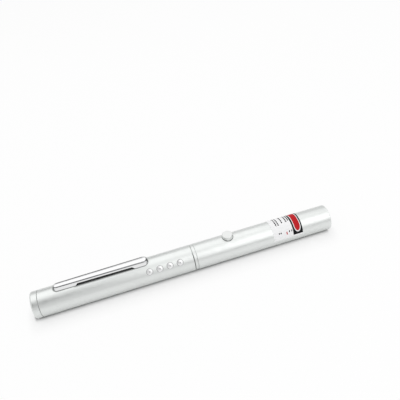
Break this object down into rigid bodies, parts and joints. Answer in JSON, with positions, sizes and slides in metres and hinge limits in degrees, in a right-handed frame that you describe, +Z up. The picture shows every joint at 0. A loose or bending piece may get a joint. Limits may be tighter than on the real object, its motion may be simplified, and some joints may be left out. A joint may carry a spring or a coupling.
{
  "type": "laser pointer",
  "caption": "Slim pen-shaped laser pointer with a pocket clip, a side push button, a screw-off end cap, battery cells and a laser module inside.",
  "frame": {"origin": "middle of the pen's length, straight below its axis, on the surface that it lies on", "axes": "+X along the pen to the end where the beam leaves, +Z up through the pocket clip and the push button, +Y across the pen, away from the side with the grip studs"},
  "size_m": [0.1642, 0.0142, 0.0163],
  "materials": {
    "satin_barrel": "fine satin, silver anodised",
    "polished_clip": "polished chrome plate on spring steel",
    "polished_button": "polished chrome plate",
    "label_film": "white film with a black end panel and plain marks",
    "spring_steel": "nickel plated steel",
    "tinned_metal": "tinned",
    "cell_can": "nickel plated steel",
    "cell_wrap": "printed film without words",
    "cell_seal": "moulded",
    "cell_filling": "pressed powder",
    "black_plastic": "moulded",
    "white_plastic": "moulded",
    "board_green": "solder mask on glass laminate",
    "blue_plastic": "moulded",
    "ceramic_tan": "fired",
    "red_wire": "insulation",
    "black_wire": "insulation",
    "brass": "turned",
    "black_metal": "black anodised",
    "gold_plate": "gold plated",
    "clear_glass": "polished",
    "violet_crystal": "polished faces",
    "green_filter": "polished"
  },
  "bodies": {
    "pen": {"rear_barrel": "satin_barrel", "front_barrel": "satin_barrel", "joint_coupler": "satin_barrel", "clip_retainer": "spring_steel", "grip_studs": "polished_button", "label": "label_film", "switch_dome": "spring_steel", "switch_housing": "black_plastic", "switch_cover": "tinned_metal", "switch_legs": "tinned_metal", "contact_disc": "white_plastic", "contact_rivet": "gold_plate", "board_carrier": "black_plastic", "driver_board": "board_green", "driver_chip": "black_plastic", "chip_legs": "tinned_metal", "transistor": "black_plastic", "capacitor": "ceramic_tan", "trim_pot": "blue_plastic", "trim_screw": "brass", "resistors": "ceramic_tan", "red_lead": "red_wire", "black_lead": "black_wire", "module_housing": "brass", "diode_holder": "brass", "pump_diode": "gold_plate", "diode_window": "clear_glass", "diode_pins": "gold_plate", "crystal_holder": "brass", "laser_crystal": "violet_crystal", "doubling_crystal": "clear_glass", "expander_cell": "brass", "expander_lens": "clear_glass", "filter_ring": "black_metal", "ir_filter": "green_filter", "lens_cell": "brass", "collimating_lens": "clear_glass", "lens_ring": "black_metal", "aperture_ring": "black_metal"},
    "button": {"button_cap": "polished_button", "switch_plunger": "black_plastic"},
    "clip": {"clip": "polished_clip"},
    "cells": {"rear_cell_can": "cell_can", "rear_cell_core": "cell_filling", "rear_cell_wrap": "cell_wrap", "rear_cell_seal": "cell_seal", "rear_cell_plus": "cell_can", "front_cell_can": "cell_can", "front_cell_core": "cell_filling", "front_cell_wrap": "cell_wrap", "front_cell_seal": "cell_seal", "front_cell_plus": "cell_can"},
    "spring": {"cap_spring": "spring_steel"},
    "cap": {"end_cap": "satin_barrel"}
  },
  "joints": [
    {"name": "button_press", "type": "slide", "parent": "pen", "child": "button", "axis": [0, 0, -1], "range_m": [0, 0.0005], "stiffness_N_per_m": 2500, "springref_m": -0.0003, "deforming": ["switch_dome"]},
    {"name": "clip_flex", "type": "hinge", "parent": "pen", "child": "clip", "pos_m": [-0.06908, 0, 0.014], "axis": [0, -1, 0], "range_deg": [0, 2.5], "stiffness_Nm_per_rad": 1},
    {"name": "battery_draw", "type": "slide", "parent": "pen", "child": "cells", "axis": [-1, 0, 0], "range_m": [0, 0.095]},
    {"name": "cap_travel", "type": "slide", "parent": "cells", "child": "spring", "axis": [-1, 0, 0], "range_m": [0, 0.006]},
    {"name": "cap_unscrew", "type": "hinge", "parent": "spring", "child": "cap", "pos_m": [-0.0764, 0, 0.007], "axis": [-1, 0, 0], "range_deg": [0, 2880]}
  ],
  "couplings": [
    {"joint": "cap_unscrew", "follows": "cap_travel", "rad_per_m": 8377.6}
  ]
}
